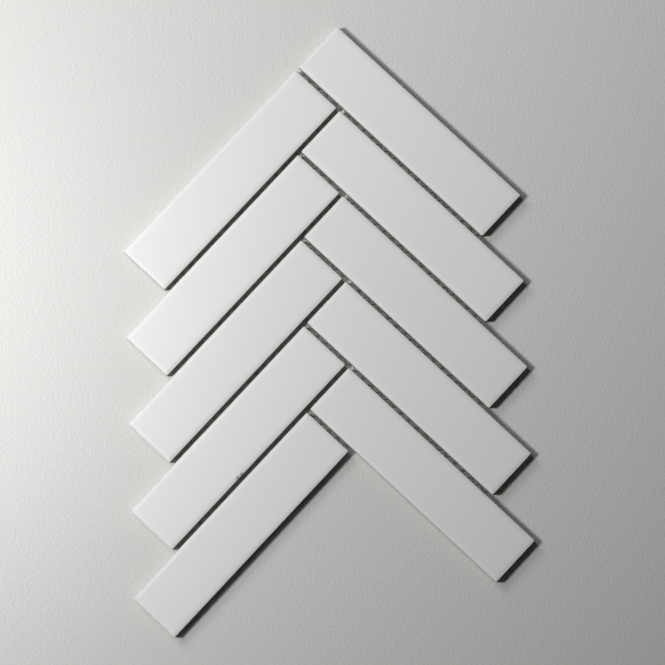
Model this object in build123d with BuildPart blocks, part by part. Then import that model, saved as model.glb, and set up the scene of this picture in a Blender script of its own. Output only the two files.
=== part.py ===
from build123d import *
import os
from math import sqrt

# Herringbone mosaic sheet: porcelain strips, laid in a chevron and glued to a glass-fibre mesh.
# Units are millimetres. X runs across the sheet, Y runs up its axis and Z is up. The origin is
# under the middle of the sheet's outline, on the plane that the mesh lies on.

os.makedirs("parts", exist_ok=True)

# Strip tile
tile_length = 145.0
tile_width = 32.5
tile_thickness = 6.0
corner_radius = 0.8

# Its cushioned edge: the face falls away over a narrow border and rolls into the side
cushion_width = 1.6
cushion_drop = 0.28
cushion_radius = 10.0
arris_radius = 0.8

# Relief pressed into the back of a tile: a rim, and pockets with ribs between them
back_bevel = 0.4
back_rim = 3.0
rib_width = 1.6
pocket_depth = 0.5
pocket_columns = 8
pocket_rows = 2

# Layout
joint_width = 2.7
tile_rows = 5

# Backing mesh: flat yarns in two crossing sets
yarn_width = 0.9
yarn_thickness = 0.3
warp_spacing = 5.06
weft_spacing = 4.24
mesh_margin = 2.5

# Each row of tiles steps down the axis by one tile and one joint, measured square to the tiles
row_step = tile_width + joint_width
sheet_width = (2 * tile_length + row_step) / sqrt(2)
sheet_height = (tile_length + tile_width + (2 * tile_rows - 1) * row_step) / sqrt(2)

# The bond plane has its x along the right-hand tiles, down to the right, and its y along the
# left-hand tiles, up to the right. Its origin is the upper corner of the first left-hand tile.
first_corner = (-row_step / sqrt(2) / 2, sheet_height / 2 - row_step / sqrt(2), 0)
bond = Plane(origin=first_corner, x_dir=(1, -1, 0), z_dir=(0, 0, 1))

mesh_thickness = 2 * yarn_thickness
pocket_length = (tile_length - 2 * back_rim - (pocket_columns - 1) * rib_width) / pocket_columns
pocket_width = (tile_width - 2 * back_rim - (pocket_rows - 1) * rib_width) / pocket_rows


def tile_section(span):
    """The outline of a tile cut across its middle, as wide as span, standing on its back."""
    half = span / 2
    side_top = tile_thickness - cushion_drop
    right_side = [
        (half - back_bevel, 0),
        (half, back_bevel),
        (half, side_top),
        (half - cushion_width, tile_thickness),
    ]
    left_side = [(-x, y) for x, y in reversed(right_side)]
    with BuildSketch() as section:
        with BuildLine():
            Polyline(*right_side, *left_side, close=True)
        make_face()
        corners = section.vertices().group_by(Axis.Y)
        fillet(corners[-1], cushion_radius)
        fillet(corners[-2], arris_radius)
    return section.sketch


def make_tile(name, bond_x, bond_y, turn):
    """A strip whose middle is at bond_x, bond_y, with its length turned from the bond plane's x."""
    back = Plane(bond.location * Location((bond_x, bond_y, mesh_thickness), (0, 0, turn)))
    across = Plane(origin=back.origin, x_dir=back.y_dir, z_dir=back.x_dir)
    along = Plane(origin=back.origin, x_dir=back.x_dir, z_dir=-back.y_dir)
    with BuildPart() as tile:
        with BuildSketch(across):
            add(tile_section(tile_width))
        extrude(amount=tile_length / 2, both=True)
        with BuildSketch(along):
            add(tile_section(tile_length))
        extrude(amount=tile_width / 2, both=True, mode=Mode.INTERSECT)
        with BuildSketch(back):
            RectangleRounded(tile_length, tile_width, corner_radius)
        extrude(amount=tile_thickness, mode=Mode.INTERSECT)
        with BuildSketch(back):
            with GridLocations(
                pocket_length + rib_width, pocket_width + rib_width, pocket_columns, pocket_rows
            ):
                Rectangle(pocket_length, pocket_width)
        extrude(amount=pocket_depth, mode=Mode.SUBTRACT)
    tile.part.label = name
    export_step(tile.part, f"parts/{name}.step")


def sheet_outline():
    """The corners of the tiles' common outline in the bond plane, with the joints closed."""
    last_step = (tile_rows - 1) * row_step
    corners = [(0, row_step), (tile_length, row_step)]
    for row in range(tile_rows - 1):
        step = row * row_step
        corners.append((tile_length + step, -step))
        corners.append((tile_length + step + row_step, -step))
    corners.append((tile_length + last_step, joint_width - last_step))
    corners.append((tile_width + last_step, joint_width - last_step))
    corners.append((tile_width + last_step, -tile_length - last_step))
    for row in range(tile_rows - 1, 0, -1):
        step = row * row_step
        corners.append((step, -tile_length - step))
        corners.append((step, -tile_length - step + row_step))
    corners.append((0, -tile_length))
    return corners


def make_yarns(name, level, line_count, spacing_x, spacing_y, size_x, size_y):
    """Parallel flat yarns across the whole sheet, cut back from its outline."""
    columns = line_count if spacing_x else 1
    rows = line_count if spacing_y else 1
    with BuildPart() as yarns:
        with BuildSketch(Plane.XY.offset(level)):
            with GridLocations(spacing_x, spacing_y, columns, rows):
                Rectangle(size_x, size_y)
        extrude(amount=yarn_thickness)
        with BuildSketch(bond.offset(level)):
            with BuildLine():
                Polyline(sheet_outline(), close=True)
            make_face()
            offset(amount=-mesh_margin, kind=Kind.INTERSECTION, mode=Mode.REPLACE)
        extrude(amount=yarn_thickness, mode=Mode.INTERSECT)
    yarns.part.label = name
    export_step(yarns.part, f"parts/{name}.step")


# The tiles, from the top row down
for row in range(tile_rows):
    step = row * row_step
    make_tile(f"tile_left_{row + 1}", step + tile_width / 2, -step - tile_length / 2, 90)
    make_tile(
        f"tile_right_{row + 1}", step + tile_length / 2, joint_width + tile_width / 2 - step, 0
    )

# The mesh. An odd number of warp yarns puts one on the sheet's axis.
warp_count = 2 * round(sheet_width / warp_spacing / 2) + 1
weft_count = 2 * round(sheet_height / weft_spacing / 2) + 1
make_yarns("mesh_warp_yarns", 0, warp_count, warp_spacing, 0, yarn_width, sheet_height)
make_yarns("mesh_weft_yarns", yarn_thickness, weft_count, 0, weft_spacing, sheet_width, yarn_width)
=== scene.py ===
# %% [markdown]
# # A herringbone mosaic sheet
# Ten matt white porcelain strips lie in a chevron, glued to a net of glass-fibre yarn. The solid
# model already holds every tile at its real size, so this lesson adds what it can't show: the
# glaze, the bare back, the woven yarns, the light and the camera. Lengths are in metres.

import bpy
import math
import numpy as np
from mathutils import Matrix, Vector


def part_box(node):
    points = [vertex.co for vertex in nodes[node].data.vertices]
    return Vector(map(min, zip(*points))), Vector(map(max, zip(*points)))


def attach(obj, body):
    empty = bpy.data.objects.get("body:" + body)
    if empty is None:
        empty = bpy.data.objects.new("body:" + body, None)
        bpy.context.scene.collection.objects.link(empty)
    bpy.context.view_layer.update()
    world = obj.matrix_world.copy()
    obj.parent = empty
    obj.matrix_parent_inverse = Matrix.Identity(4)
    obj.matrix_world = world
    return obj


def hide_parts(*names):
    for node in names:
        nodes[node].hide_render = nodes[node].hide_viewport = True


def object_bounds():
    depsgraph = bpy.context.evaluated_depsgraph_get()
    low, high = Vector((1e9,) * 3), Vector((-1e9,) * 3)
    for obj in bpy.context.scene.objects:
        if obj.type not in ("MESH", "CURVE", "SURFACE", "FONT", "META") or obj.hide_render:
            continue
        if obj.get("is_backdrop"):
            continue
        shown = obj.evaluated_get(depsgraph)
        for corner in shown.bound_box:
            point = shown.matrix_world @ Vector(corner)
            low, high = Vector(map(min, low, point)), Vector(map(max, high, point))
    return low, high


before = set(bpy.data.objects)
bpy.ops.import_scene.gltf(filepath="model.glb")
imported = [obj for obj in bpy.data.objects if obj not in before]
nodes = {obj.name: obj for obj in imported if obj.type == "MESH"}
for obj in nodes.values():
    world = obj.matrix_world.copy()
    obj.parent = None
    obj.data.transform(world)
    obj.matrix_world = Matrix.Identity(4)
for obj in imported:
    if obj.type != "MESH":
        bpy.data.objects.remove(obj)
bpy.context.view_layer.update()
MM = 0.001

# %% [markdown]
# ## Where each tile lies
# A finish that follows a tile needs to know the tile's middle and the way that it runs. Both could
# be typed in, but the model has them: a tile's box is centred on the tile, and its name says on
# which side of the chevron it lies.

# %% Tile places
TILE_TURN = {"left": math.radians(45), "right": math.radians(-45)}
TILE_LENGTH = 145 * MM
TILE_WIDTH = 32.5 * MM
tiles = {}
for name in sorted(nodes):
    if name.startswith("tile_"):
        low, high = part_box(name)
        tiles[name] = {"middle": (low + high) / 2, "turn": TILE_TURN[name.split("_")[1]]}
face_level = max(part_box(name)[1].z for name in tiles)
back_level = min(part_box(name)[0].z for name in tiles)
print(len(tiles), "tiles, faces", round(face_level / MM, 2), "mm above the floor")

# %% [markdown]
# ## The camera
# The picture looks almost straight down from near the foot of the sheet, through a long lens. The
# turn and the distance come from the tiles' corners, which a camera model was fitted to.

# %% Camera
CAMERA_PLACE = Vector((-2.3, -180.7, 1726.3)) * MM  # from the middle of the tiles' faces
CAMERA_TURN = (5.857, 0.0, -1.992)  # degrees
CAMERA_LENS = 163.6  # millimetres, on a sensor of this width
CAMERA_SENSOR = 36

camera_data = bpy.data.cameras.new("camera")
camera_data.lens = CAMERA_LENS
camera_data.sensor_width = CAMERA_SENSOR
camera_data.clip_start, camera_data.clip_end = 0.05, 20
camera = bpy.data.objects.new("camera", camera_data)
camera.location = CAMERA_PLACE + Vector((0, 0, face_level))
camera.rotation_euler = [math.radians(angle) for angle in CAMERA_TURN]
bpy.context.scene.collection.objects.link(camera)
bpy.context.scene.camera = camera
print("camera", round(camera.location.length, 2), "m from the middle of the sheet")

# %% [markdown]
# ## Shader maths as plain sums
# Node trees are hard to read as code. Here a small class wraps a socket, so that `1 - mask * 0.5`
# adds the Math nodes by itself, and one method of the finish adds every other kind of node.

# %% A socket that can be calculated with


class Wire:
    """One output socket of a finish. A sum or a product of wires adds a Math node."""

    def __init__(self, finish, socket):
        self.finish = finish
        self.socket = socket

    def maths(self, operation, *values):
        return self.finish.node("Math", {"operation": operation}, dict(enumerate(values)))

    def __add__(self, other):
        return self.maths("ADD", self, other)

    def __sub__(self, other):
        return self.maths("SUBTRACT", self, other)

    def __rsub__(self, other):
        return self.maths("SUBTRACT", other, self)

    def __mul__(self, other):
        return self.maths("MULTIPLY", self, other)

    def __truediv__(self, other):
        return self.maths("DIVIDE", self, other)

    def __mod__(self, other):
        return self.maths("FLOORED_MODULO", self, other)

    def __abs__(self):
        return self.maths("ABSOLUTE", self)

    def smaller(self, other):
        return self.maths("MINIMUM", self, other)

    def step(self, start, end):
        """0 at start, 1 at end, and a smooth ramp between them. start may be the larger one."""
        settings = {"interpolation_type": "SMOOTHSTEP"}
        values = {"Value": self, "From Min": start, "From Max": end}
        return self.finish.node("MapRange", settings, values)

    __radd__ = __add__
    __rmul__ = __mul__


# %% A finish is a node tree that is built by node()
# The Mix node has sockets for each type of data. These are the places of its colour sockets.
MIX_BELOW, MIX_ABOVE, MIX_RESULT = 6, 7, 2


class Finish:
    """The node tree of a material or a world, with the coordinates of the piece that it is on."""

    def __init__(self, owner):
        self.owner = owner
        self.owner.use_nodes = True
        self.tree = self.owner.node_tree
        self.tree.nodes.clear()
        self.place = self.node("TexCoord", out="Object")

    def node(self, kind, settings=None, values=None, out=0):
        """Adds a node: its settings first, then the values or wires of its sockets."""
        made = self.tree.nodes.new("ShaderNode" + kind)
        for name, value in (settings or {}).items():
            setattr(made, name, value)
        for name, value in (values or {}).items():
            if isinstance(value, Wire):
                self.tree.links.new(value.socket, made.inputs[name])
            else:
                made.inputs[name].default_value = value
        return Wire(self, made.outputs[out]) if made.outputs else None

    def noise(self, where, size, detail=2.0, roughness=0.5):
        """Cloudy noise from 0 to 1 whose blots are about size across."""
        values = {"Vector": where, "Scale": 1 / size, "Detail": detail, "Roughness": roughness}
        return self.node("TexNoise", {"noise_dimensions": "3D"}, values, out="Fac")

    def axes(self, where):
        """The three numbers of a vector."""
        split = self.node("SeparateXYZ", values={"Vector": where}).socket.node
        return [Wire(self, socket) for socket in split.outputs]

    def blend(self, mask, below, above):
        """The colour or wire below where mask is 0, and above where it is 1."""
        values = {"Factor": mask, MIX_BELOW: below, MIX_ABOVE: above}
        return self.node("Mix", {"data_type": "RGBA"}, values, out=MIX_RESULT)

    def shader(self, height=None, **sockets):
        """A Principled shader. height, in metres, is read as relief."""
        values = {name.replace("_", " "): value for name, value in sockets.items()}
        if height is not None:
            relief = {"Height": height, "Distance": 1.0, "Strength": 1.0}
            values["Normal"] = self.node("Bump", values=relief)
        return self.node("BsdfPrincipled", values=values)

    def surface(self, shader):
        """Puts the shader on the surface of whatever has this material."""
        self.node("OutputMaterial", values={"Surface": shader})
        return self.owner


def grey(level, red=0.0, blue=0.0):
    """A linear colour near grey, with this share of red and of blue above its green."""
    return (level * (1 + red), level, level * (1 + blue), 1.0)


# %% [markdown]
# ## Where each yarn lies
# The model holds each yarn of the net as a flat bar that ends where the net is trimmed. The bars
# are read back, so that every woven yarn, and the glue along it, lies where its bar does.

# %% Read the flat bars
SAME_PLACE = 7  # decimals of a metre to which two corners are the same point
SAME_LINE = 5  # decimals of a metre to which two bars are on one line


def bars(node):
    """The lowest and highest corner of each separate bar of a node, as two arrays.

    Corners that share a place are one point. A point's label is the lowest label that it can
    reach along an edge, found by passing labels along all the edges until none changes.
    """
    mesh = nodes[node].data
    places = np.empty(len(mesh.vertices) * 3, np.float32)
    mesh.vertices.foreach_get("co", places)
    ends = np.empty(len(mesh.edges) * 2, np.int32)
    mesh.edges.foreach_get("vertices", ends)
    points, same = np.unique(
        np.round(places.reshape(-1, 3).astype(float), SAME_PLACE), axis=0, return_inverse=True
    )
    first, second = same.reshape(-1)[ends.reshape(-1, 2)].T
    label = np.arange(len(points))
    while True:
        lowest = np.minimum(label[first], label[second])
        new = label.copy()
        np.minimum.at(new, first, lowest)
        np.minimum.at(new, second, lowest)
        if (new == label).all():
            break
        label = new
    groups = [points[label == one] for one in np.unique(label)]
    return np.array([g.min(0) for g in groups]), np.array([g.max(0) for g in groups])


warp_low, warp_high = bars("mesh_warp_yarns")
weft_low, weft_high = bars("mesh_weft_yarns")
warp_at = np.unique(np.round((warp_low + warp_high)[:, 0] / 2, SAME_LINE))
weft_at = np.unique(np.round((weft_low + weft_high)[:, 1] / 2, SAME_LINE))
WARP_SPACING = float(np.median(np.diff(warp_at)))
WEFT_SPACING = float(np.median(np.diff(weft_at)))
net_middle = float(weft_low[:, 2].min())  # the level at which the two sets of bars touch
print(len(warp_low), "warp bars", round(WARP_SPACING / MM, 2), "mm apart")
print(len(weft_low), "weft bars", round(WEFT_SPACING / MM, 2), "mm apart")

# %% [markdown]
# ## The glazed porcelain
# A dry-pressed strip is glazed on its face only. The matt glaze thins where the soft edge rolls
# over and ends there in an uneven line. The sides and the back are bare and a little warmer, and
# on the back a film of glue has crept out along the yarns. The face could be one flat white, but
# it would look like plastic: real glaze pools and thins by a few hundredths of a millimetre, which
# shows as a faint change of tone and of gloss. Each tile has its own finish, because its tone is
# its own and its border runs with it. The clouds follow the place on the sheet, so that no two
# tiles show the same ones.

# %% Glazed tile finish
GLAZE_TONE, BODY_TONE, GLUE_TONE, CHIP_TONE = 0.71, 0.40, 0.29, 0.34
TONE_SPREAD = 0.012  # how far the tone of one tile may be from the next one's
TONE_STEP = 2.4  # radians, so that neighbours differ
GLAZE_ROUGHNESS, BODY_ROUGHNESS, GLUE_ROUGHNESS = 0.44, 0.8, 0.3
CLOUD_ROUGHNESS = 0.08  # the difference that the clouds make
CLOUD_SIZE, GRAIN_SIZE, BLOT_SIZE = 26 * MM, 0.7 * MM, 3 * MM
CLOUD_HEIGHT, GRAIN_HEIGHT = 0.04 * MM, 0.004 * MM
BARE_HEIGHT, GLUE_HEIGHT = 0.05 * MM, 0.06 * MM
SAG_WIDTH, SAG_DEPTH = 4.5 * MM, 0.04 * MM  # the glaze is thinner along the border

GLAZE_LINE = 5.45 * MM  # above the back, on the rounded arris
GLAZE_FADE = 0.5 * MM  # the height over which it thins towards that line
GLAZE_STRAY = 0.3 * MM  # the height over which the line wanders
GLUE_NONE, GLUE_FULL = 0.9 * MM, 0.6 * MM  # from the middle of a yarn
GLUE_TOP = 0.6 * MM  # above the back
GLUE_STRAY = 1.6 * MM

CHIPPED_TILE = "tile_left_4"
CHIPS_ALONG = (-13.9 * MM, -16.8 * MM)  # from the tile's middle, on its lower right arris
CHIP_NONE, CHIP_FULL = 1.4 * MM, 0.9 * MM  # from the middle of a chip
CHIP_STRAY = 1.6 * MM
CHIP_DEPTH = 0.3 * MM
CHIP_ROUGHNESS = 0.4  # more than the glaze has


def from_line(place, spacing):
    """The distance to the nearest of the lines that lie spacing apart, one of them at 0."""
    return abs((place / spacing + 0.5) % 1.0 - 0.5) * spacing


def tile_finish(name, middle, turn, number):
    """Matt glaze on the face, a bare body on the sides and the back, and glue on the back."""
    finish = Finish(bpy.data.materials.new(name + "_porcelain"))
    mapping = {"Vector": finish.place, "Location": middle, "Rotation": (0, 0, turn)}
    own = finish.node("Mapping", {"vector_type": "TEXTURE"}, mapping)
    along, across, _ = finish.axes(own)
    x, y, z = finish.axes(finish.place)
    height = z - back_level
    inset = (TILE_LENGTH / 2 - abs(along)).smaller(TILE_WIDTH / 2 - abs(across))

    clouds = finish.noise(finish.place, CLOUD_SIZE, detail=3)
    grain = finish.noise(finish.place, GRAIN_SIZE, detail=3, roughness=0.6)
    blots = finish.noise(finish.place, BLOT_SIZE, detail=4, roughness=0.6)
    ragged = blots - 0.5
    glazed = (height + ragged * GLAZE_STRAY).step(GLAZE_LINE, GLAZE_LINE + GLAZE_FADE)
    from_yarn = from_line(x, WARP_SPACING).smaller(from_line(y, WEFT_SPACING))
    glue = (from_yarn + ragged * GLUE_STRAY).step(GLUE_NONE, GLUE_FULL)
    glue = glue * height.step(GLUE_TOP, GLUE_TOP / 2)

    tone = GLAZE_TONE * (1 + TONE_SPREAD * math.sin(number * TONE_STEP))
    thin, thick = grey(tone * 0.985, -0.012, -0.007), grey(tone * 1.01, -0.009, -0.005)
    dark, light = grey(BODY_TONE * 0.93, 0.05, -0.12), grey(BODY_TONE * 1.06, 0.04, -0.1)
    body = finish.blend(glue, finish.blend(blots, dark, light), grey(GLUE_TONE, 0.07, -0.22))
    colour = finish.blend(glazed, body, finish.blend(clouds, thin, thick))

    smoother = BODY_ROUGHNESS - GLAZE_ROUGHNESS + (clouds - 0.5) * CLOUD_ROUGHNESS
    dull = BODY_ROUGHNESS - glazed * smoother - glue * (BODY_ROUGHNESS - GLUE_ROUGHNESS)
    sag = (inset.step(0, SAG_WIDTH) - 1) * SAG_DEPTH
    glaze_relief = sag + clouds * CLOUD_HEIGHT + grain * GRAIN_HEIGHT
    bare_relief = blots * BARE_HEIGHT + glue * GLUE_HEIGHT
    relief = glazed * glaze_relief + (1 - glazed) * bare_relief

    for chip_along in CHIPS_ALONG if name == CHIPPED_TILE else ():
        arris = (chip_along, -TILE_WIDTH / 2, (face_level - back_level) / 2)
        away = finish.node("VectorMath", {"operation": "DISTANCE"}, {0: own, 1: arris}, "Value")
        chip = (away + ragged * CHIP_STRAY).step(CHIP_NONE, CHIP_FULL)
        colour = finish.blend(chip, colour, grey(CHIP_TONE, 0.03, -0.08))
        dull = dull + chip * CHIP_ROUGHNESS
        relief = relief - chip * CHIP_DEPTH
    return finish.surface(
        finish.shader(Base_Color=colour, Roughness=dull, IOR=1.55, height=relief)
    )


for number, (name, tile) in enumerate(tiles.items()):
    material = tile_finish(name, tile["middle"], tile["turn"], number)
    nodes[name].data.materials.clear()
    nodes[name].data.materials.append(material)
    print(material.name, len(material.node_tree.nodes), "nodes")

# %% [markdown]
# ## The woven net
# The backing is a gauze: flat rovings run across the sheet, and a pair of finer strands twists
# round them up the sheet, half a turn at each crossing, so one strand passes above a roving and
# the other below.
#
# A yarn is an ellipse carried along a path. All the rings of a yarn are worked out at once as an
# array, and only the short list of yarns is looped over. The ends are closed with a flat cap.

# %% Carry an ellipse along a path
YARN_SIDES = 6
FEWEST_RINGS = 4
YARN_UV = "yarn"
UV_LENGTH = 10 * MM  # the length of yarn that is 1 in the UV


def yarn(centres, half_widths, half_depth, sideways):
    """Points, faces and a UV for each face corner of one yarn.

    Ring i lies round centres[i]. Its point at angle a is
    centre + sideways * half_width * cos(a) + up * half_depth * sin(a).
    The UV is (distance along in units of UV_LENGTH, share of the way round).
    """
    angle = np.arange(YARN_SIDES) * 2 * np.pi / YARN_SIDES
    up = np.array([0, 0, 1.0])
    rings = (
        centres[:, None, :]
        + half_widths[:, None, None] * np.cos(angle)[None, :, None] * np.array(sideways)
        + half_depth * np.sin(angle)[None, :, None] * up
    )
    ring, side = np.meshgrid(
        np.arange(len(centres) - 1), np.arange(YARN_SIDES), indexing="ij"
    )
    here, there = ring * YARN_SIDES, (ring + 1) * YARN_SIDES
    after = (side + 1) % YARN_SIDES
    quads = np.stack([here + side, here + after, there + after, there + side], axis=-1)
    run = np.r_[0, np.cumsum(np.linalg.norm(np.diff(centres, axis=0), axis=1))] / UV_LENGTH
    start, end = run[ring], run[ring + 1]
    around, beyond = side / YARN_SIDES, (side + 1) / YARN_SIDES
    uv = np.stack([start, around, start, beyond, end, beyond, end, around], axis=-1)
    return rings.reshape(-1, 3), quads.reshape(-1, 4), uv.reshape(-1, 2)


def piece_from_yarns(name, yarns):
    """One mesh of many yarns, with capped ends and smooth sides."""
    points, faces, uvs, start = [], [], [], 0
    cap = np.arange(YARN_SIDES)
    for ring_points, quads, uv in yarns:
        points.append(ring_points)
        last = start + len(ring_points) - YARN_SIDES
        faces += (quads + start).tolist()
        faces += [(start + cap[::-1]).tolist(), (last + cap).tolist()]
        uvs += [uv, np.zeros((2 * YARN_SIDES, 2))]
        start += len(ring_points)
    mesh = bpy.data.meshes.new(name)
    mesh.from_pydata(np.concatenate(points).tolist(), [], faces)
    layer = mesh.uv_layers.new(name=YARN_UV)
    layer.data.foreach_set("uv", np.concatenate(uvs).astype(np.float32).ravel())
    mesh.polygons.foreach_set("use_smooth", [len(face) == 4 for face in faces])
    mesh.update()
    piece = bpy.data.objects.new(name, mesh)
    bpy.context.scene.collection.objects.link(piece)
    print(name, len(mesh.vertices), "points", len(mesh.polygons), "faces")
    return piece


# %% [markdown]
# ## Twisted warp pairs
# Seen from the side, a strand is a wave that is high over one roving and low under the next. Seen
# from above it swings left and right between the rovings. Together that is a slow helix, and the
# second strand of the pair is the same helix half a turn on.
#
# No real yarn is dead straight or of one width, so each strays a little in a long wave, and a
# seeded random number sets where its wave begins.

# %% Warp strands
STRAND_HALF_WIDTH = 0.26 * MM
STRAND_HALF_DEPTH = 0.1 * MM
STRAND_SWING = 0.25 * MM
STRAND_RISE = 0.2 * MM
STRAND_STRAY, STRAND_STRAY_RUN = 0.06 * MM, 37 * MM
STRAND_SLUB, STRAND_SLUB_RUN = 0.12, 5.3 * MM  # how its width varies, as a share
STRAND_RINGS = 5  # for each roving that it passes
ANY_TURN = 6.3  # radians, about a full turn
rng = np.random.default_rng(7)


def warp_strand(low, high, half_turn):
    """A helix up the sheet: x swings as sin(t), z as cos(t), and t grows by pi at each roving."""
    x = (low[0] + high[0]) / 2
    count = max(FEWEST_RINGS, int((high[1] - low[1]) / WEFT_SPACING * STRAND_RINGS))
    y = np.linspace(low[1], high[1], count)
    t = np.pi * (y - weft_at[0]) / WEFT_SPACING + half_turn
    stray = STRAND_STRAY * np.sin(y / STRAND_STRAY_RUN + rng.uniform(0, ANY_TURN))
    centres = np.stack(
        [x + stray + STRAND_SWING * np.sin(t), y, net_middle + STRAND_RISE * np.cos(t)], axis=1
    )
    half_width = STRAND_HALF_WIDTH * (1 + STRAND_SLUB * np.sin(y / STRAND_SLUB_RUN + x / MM))
    return yarn(centres, half_width, STRAND_HALF_DEPTH, sideways=(1.0, 0, 0))


warp_pieces = []
for letter, half_turn in (("a", 0.0), ("b", math.pi)):
    strands = [warp_strand(low, high, half_turn) for low, high in zip(warp_low, warp_high)]
    warp_pieces.append(piece_from_yarns("warp_strand_" + letter, strands))

# %% [markdown]
# ## Flat weft rovings
# A roving is a ribbon of loose filaments. Each pair of strands nips it, so it is narrower at a
# crossing and spreads between two crossings.

# %% Weft rovings
ROVING_HALF_WIDTH = 0.42 * MM
ROVING_SPREAD = 0.16 * MM
ROVING_HALF_DEPTH = 0.1 * MM
ROVING_STRAY, ROVING_STRAY_RUN = 0.07 * MM, 29 * MM
ROVING_RINGS = 4  # for each pair of strands that it passes


def weft_roving(low, high):
    """A straight flat ribbon whose half width grows as sin squared between the warp pairs."""
    y = (low[1] + high[1]) / 2
    count = max(FEWEST_RINGS, int((high[0] - low[0]) / WARP_SPACING * ROVING_RINGS))
    x = np.linspace(low[0], high[0], count)
    between = np.sin(np.pi * (x - warp_at[0]) / WARP_SPACING) ** 2
    stray = ROVING_STRAY * np.sin(x / ROVING_STRAY_RUN + rng.uniform(0, ANY_TURN))
    centres = np.stack([x, y + stray, np.full(count, net_middle)], axis=1)
    half_width = ROVING_HALF_WIDTH + ROVING_SPREAD * between
    return yarn(centres, half_width, ROVING_HALF_DEPTH, sideways=(0, 1.0, 0))


rovings = [weft_roving(low, high) for low, high in zip(weft_low, weft_high)]
weft_piece = piece_from_yarns("weft_rovings", rovings)

# %% [markdown]
# ## Glass-fibre yarn
# Glass filaments are clear, but a bundle of them scatters light and looks white, and the dry
# binder that stiffens the net makes it slightly cream and gives it a dull shine. The filaments run
# along the yarn, so the relief is a set of fine ridges in the UV's second number.

# %% Yarn finish
FILAMENT_HEIGHT = 0.05 * MM
FILAMENT_WOBBLE = 1.5  # how far a ridge wanders round the yarn, in ridges
WOBBLE_SIZE = 0.4  # in the UV
BINDER_SIZE = 5 * MM
BINDER_DARK, BINDER_LIGHT = grey(0.42, 0.04, -0.08), grey(0.54, 0.02, -0.05)
YARN_ROUGHNESS, BINDER_ROUGHNESS = 0.42, 0.2


def yarn_finish(name, ridges):
    """Cream glass fibre with blots of binder and this many ridges round the yarn."""
    finish = Finish(bpy.data.materials.new(name))
    uv = finish.node("UVMap", {"uv_map": YARN_UV})
    _, around, _ = finish.axes(uv)
    wobble = finish.noise(uv, WOBBLE_SIZE, detail=2)
    ridge = abs((around * ridges + wobble * FILAMENT_WOBBLE) % 1.0 - 0.5)
    binder = finish.noise(finish.place, BINDER_SIZE, detail=3)
    return finish.surface(
        finish.shader(
            Base_Color=finish.blend(binder, BINDER_DARK, BINDER_LIGHT),
            Roughness=YARN_ROUGHNESS + binder * BINDER_ROUGHNESS,
            height=ridge * FILAMENT_HEIGHT,
        )
    )


strand_material = yarn_finish("glass_strand", ridges=9)
roving_material = yarn_finish("glass_roving", ridges=16)
for piece in warp_pieces:
    piece.data.materials.append(strand_material)
    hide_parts("mesh_warp_yarns")
weft_piece.data.materials.append(roving_material)
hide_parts("mesh_weft_yarns")
for piece in [*warp_pieces, weft_piece]:
    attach(piece, "root")
    print(piece.name, "has", piece.data.materials[0].name)

# %% [markdown]
# ## The floor
# The sheet lies on a plain pale grey board with a faint pebbled surface, which shows only where
# the light rakes it. The lamps are aimed past the sheet, so further off the board would be glaring
# on one side and dark on the other. There the camera sees an even pale grey instead. The board
# still throws its real light on the sheet, because only camera rays see the change: with no metal
# or glass in the scene, nothing mirrors the board.

# %% Floor
FLOOR_HALF = 3.0
FLOOR_TONE, BACKDROP_TONE = 0.575, 0.45
FLOOR_BLUE = -0.022  # a trace warmer than grey
FLOOR_ROUGHNESS = 0.55
PEBBLE_SIZE, PEBBLE_HEIGHT = 1.7 * MM, 0.2 * MM
BACKDROP_START, BACKDROP_FULL = 0.28, 0.45  # from the middle of the sheet

floor_mesh = bpy.data.meshes.new("floor")
corners = [(x * FLOOR_HALF, y * FLOOR_HALF, 0) for x, y in ((-1, -1), (1, -1), (1, 1), (-1, 1))]
floor_mesh.from_pydata(corners, [], [(0, 1, 2, 3)])
floor = bpy.data.objects.new("floor", floor_mesh)
bpy.context.scene.collection.objects.link(floor)

board = Finish(bpy.data.materials.new("pale_board"))
pebbles = board.noise(board.place, PEBBLE_SIZE, detail=2)
board_shader = board.shader(
    Base_Color=grey(FLOOR_TONE, blue=FLOOR_BLUE),
    Roughness=FLOOR_ROUGHNESS,
    height=pebbles * PEBBLE_HEIGHT,
)
away = board.node("VectorMath", {"operation": "LENGTH"}, {0: board.place}, out="Value")
far = away.step(BACKDROP_START, BACKDROP_FULL) * board.node("LightPath", out="Is Camera Ray")
backdrop = board.node("Emission", values={"Color": grey(BACKDROP_TONE, blue=FLOOR_BLUE)})
floor_mesh.materials.append(
    board.surface(board.node("MixShader", values={0: far, 1: board_shader, 2: backdrop}))
)
floor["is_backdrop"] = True
print("floor", 2 * FLOOR_HALF, "m wide")

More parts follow.
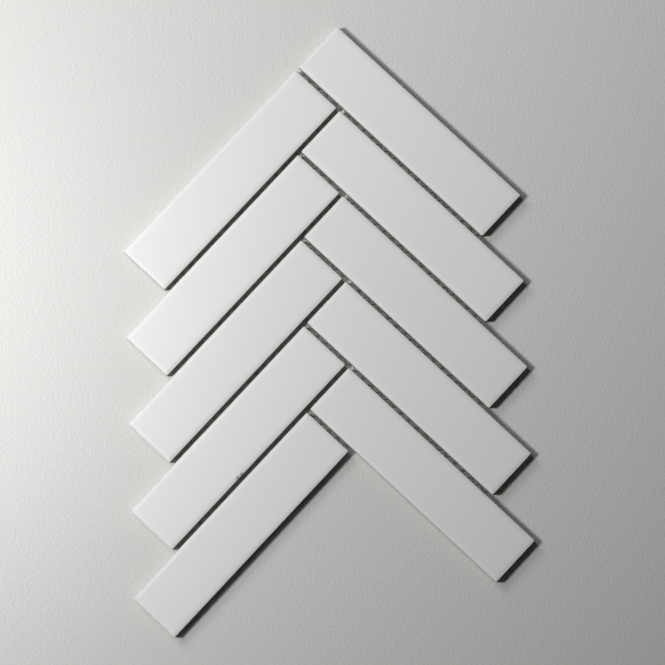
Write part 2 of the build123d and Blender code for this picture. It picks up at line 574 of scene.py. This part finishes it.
# %% [markdown]
# ## The light
# The shadows tell where the light comes from. They are equally wide on every tile, so the lamps
# stand far off. The main one is on the left, about 53 degrees up, and small, for a crisp edge. The
# sides that face the upper right are only half dark, so a weaker and broader one stands on the
# upper left. Both are spots with a soft rim that look past the sheet, so it lies on the slope of
# their pool and darkens towards the lower right. A last narrow one lifts the left-hand tips.

# %% Lamps and world
LAMP_DISTANCE = 1.8
WORLD_LEVEL = 0.03
POOL_MIDDLE = (-0.70, 0.62, 0)
TIPS = (-0.27, 0.005, 0)


def spot(name, toward, target, pool, size, power):
    """A soft spot in the direction toward, whose pool of light has this radius round its target."""
    data = bpy.data.lights.new(name, "SPOT")
    data.energy = power
    data.shadow_soft_size = size
    data.spot_size = 2 * math.atan2(pool, LAMP_DISTANCE)
    data.spot_blend = 1.0
    lamp = bpy.data.objects.new(name, data)
    lamp.location = Vector(toward).normalized() * LAMP_DISTANCE
    lamp.rotation_mode = "QUATERNION"
    lamp.rotation_quaternion = (lamp.location - Vector(target)).to_track_quat("Z", "Y")
    bpy.context.scene.collection.objects.link(lamp)
    print(name, power, "W,", round(lamp.location.z, 2), "m above the floor")


spot("main_lamp", (-0.74, 0.02, 1), POOL_MIDDLE, pool=2.5, size=0.2, power=140)
spot("upper_left_lamp", (-0.8, 0.8, 0.85), POOL_MIDDLE, pool=2.5, size=0.42, power=62)
spot("tip_lamp", (-0.3, 0.1, 1), TIPS, pool=0.25, size=0.1, power=36)

world = bpy.data.worlds.new("studio")
studio = Finish(world)
seen = studio.node("LightPath", out="Is Camera Ray") * (BACKDROP_TONE - WORLD_LEVEL)
sky = {"Color": grey(1.0, blue=FLOOR_BLUE), "Strength": seen + WORLD_LEVEL}
studio.node("OutputWorld", values={"Surface": studio.node("Background", values=sky)})
bpy.context.scene.world = world
bpy.context.scene.view_settings.view_transform = "Standard"

# %% [markdown]
# ## Sizes
# The box of everything that is drawn, the floor apart, is printed in millimetres. The looks may
# not make the object larger than the solid model.

# %% Print the box of what is drawn
low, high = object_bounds()
print("visual, in millimetres:", [round(side / MM, 1) for side in high - low])
